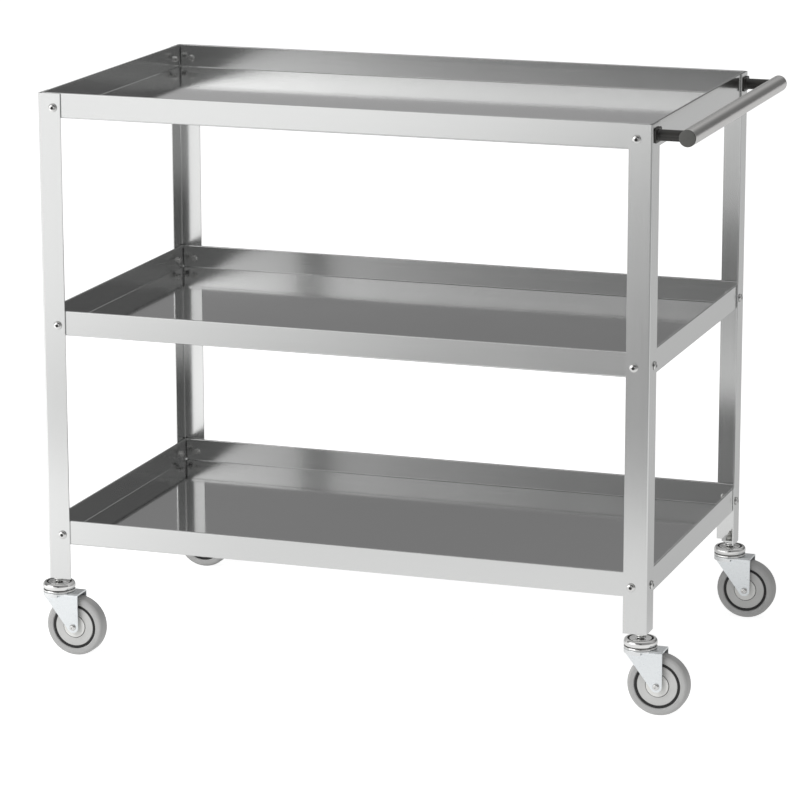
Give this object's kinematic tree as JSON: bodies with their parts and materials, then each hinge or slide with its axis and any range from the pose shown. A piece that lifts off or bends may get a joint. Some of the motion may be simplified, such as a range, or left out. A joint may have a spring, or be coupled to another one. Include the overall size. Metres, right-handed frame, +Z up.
{
  "type": "food service trolley",
  "caption": "Wheeled stainless steel service trolley with open tray shelves on angle legs, a tubular push handle at one end and swivel castors.",
  "frame": {"origin": "on the floor, under the middle of the whole trolley's bounding box", "axes": "+X along the trolley towards the push handle, +Y across it towards the back long side, +Z up"},
  "size_m": [0.9998, 0.5622, 0.85],
  "materials": {
    "brushed_steel": "fine brushed stainless steel",
    "tray_steel": "bright annealed stainless steel, nearly mirror on the shelf floors",
    "handle_steel": "satin stainless steel tube",
    "fastener_steel": "bright stainless fasteners",
    "dark_steel": "dark oiled steel stem",
    "chrome": "polished chrome plate",
    "zinc_plate": "bright zinc plate",
    "wheel_plastic": "moulded grey plastic",
    "grey_rubber": "non-marking grey rubber",
    "dark_plastic": "moulded black plastic",
    "cap_plastic": "moulded dark grey plastic"
  },
  "bodies": {
    "frame": {"leg_left_front": "brushed_steel", "leg_left_back": "brushed_steel", "leg_right_front": "brushed_steel", "leg_right_back": "brushed_steel", "top_shelf": "tray_steel", "middle_shelf": "tray_steel", "bottom_shelf": "tray_steel", "bolt_top_left_front_long": "fastener_steel", "bolt_top_left_front_end": "fastener_steel", "bolt_top_left_back_long": "fastener_steel", "bolt_top_left_back_end": "fastener_steel", "bolt_top_right_front_long": "fastener_steel", "bolt_top_right_back_long": "fastener_steel", "bolt_middle_left_front_long": "fastener_steel", "bolt_middle_left_front_end": "fastener_steel", "bolt_middle_left_back_long": "fastener_steel", "bolt_middle_left_back_end": "fastener_steel", "bolt_middle_right_front_long": "fastener_steel", "bolt_middle_right_front_end": "fastener_steel", "bolt_middle_right_back_long": "fastener_steel", "bolt_middle_right_back_end": "fastener_steel", "bolt_bottom_left_front_long": "fastener_steel", "bolt_bottom_left_front_end": "fastener_steel", "bolt_bottom_left_back_long": "fastener_steel", "bolt_bottom_left_back_end": "fastener_steel", "bolt_bottom_right_front_long": "fastener_steel", "bolt_bottom_right_front_end": "fastener_steel", "bolt_bottom_right_back_long": "fastener_steel", "bolt_bottom_right_back_end": "fastener_steel", "handle_bar": "handle_steel", "handle_bracket_front": "dark_plastic", "handle_bolt_front": "fastener_steel", "handle_end_cap_front": "cap_plastic", "handle_bracket_back": "dark_plastic", "handle_bolt_back": "fastener_steel", "handle_end_cap_back": "cap_plastic", "castor_stem_left_front": "dark_steel", "castor_cap_left_front": "chrome", "castor_stem_left_back": "dark_steel", "castor_cap_left_back": "chrome", "castor_stem_right_front": "dark_steel", "castor_cap_right_front": "chrome", "castor_stem_right_back": "dark_steel", "castor_cap_right_back": "chrome"},
    "fork_left_front": {"castor_fork_left_front": "zinc_plate", "castor_axle_left_front": "fastener_steel"},
    "wheel_left_front": {"wheel_core_left_front": "wheel_plastic", "tyre_left_front": "grey_rubber"},
    "fork_left_back": {"castor_fork_left_back": "zinc_plate", "castor_axle_left_back": "fastener_steel"},
    "wheel_left_back": {"wheel_core_left_back": "wheel_plastic", "tyre_left_back": "grey_rubber"},
    "fork_right_front": {"castor_fork_right_front": "zinc_plate", "castor_axle_right_front": "fastener_steel"},
    "wheel_right_front": {"wheel_core_right_front": "wheel_plastic", "tyre_right_front": "grey_rubber"},
    "fork_right_back": {"castor_fork_right_back": "zinc_plate", "castor_axle_right_back": "fastener_steel"},
    "wheel_right_back": {"wheel_core_right_back": "wheel_plastic", "tyre_right_back": "grey_rubber"}
  },
  "joints": [
    {"name": "swivel_left_front", "type": "hinge", "parent": "frame", "child": "fork_left_front", "pos_m": [-0.47565, -0.2568, 0.0965], "axis": [0, 0, 1], "continuous": true},
    {"name": "spin_left_front", "type": "hinge", "parent": "fork_left_front", "child": "wheel_left_front", "pos_m": [-0.44765, -0.2568, 0.045], "axis": [0, 1, 0], "continuous": true},
    {"name": "swivel_left_back", "type": "hinge", "parent": "frame", "child": "fork_left_back", "pos_m": [-0.47565, 0.2568, 0.0965], "axis": [0, 0, 1], "continuous": true},
    {"name": "spin_left_back", "type": "hinge", "parent": "fork_left_back", "child": "wheel_left_back", "pos_m": [-0.44765, 0.2568, 0.045], "axis": [0, 1, 0], "continuous": true},
    {"name": "swivel_right_front", "type": "hinge", "parent": "frame", "child": "fork_right_front", "pos_m": [0.42695, -0.2568, 0.0965], "axis": [0, 0, 1], "continuous": true},
    {"name": "spin_right_front", "type": "hinge", "parent": "fork_right_front", "child": "wheel_right_front", "pos_m": [0.45495, -0.2568, 0.045], "axis": [0, 1, 0], "continuous": true},
    {"name": "swivel_right_back", "type": "hinge", "parent": "frame", "child": "fork_right_back", "pos_m": [0.42695, 0.2568, 0.0965], "axis": [0, 0, 1], "continuous": true},
    {"name": "spin_right_back", "type": "hinge", "parent": "fork_right_back", "child": "wheel_right_back", "pos_m": [0.45495, 0.2568, 0.045], "axis": [0, 1, 0], "continuous": true}
  ]
}
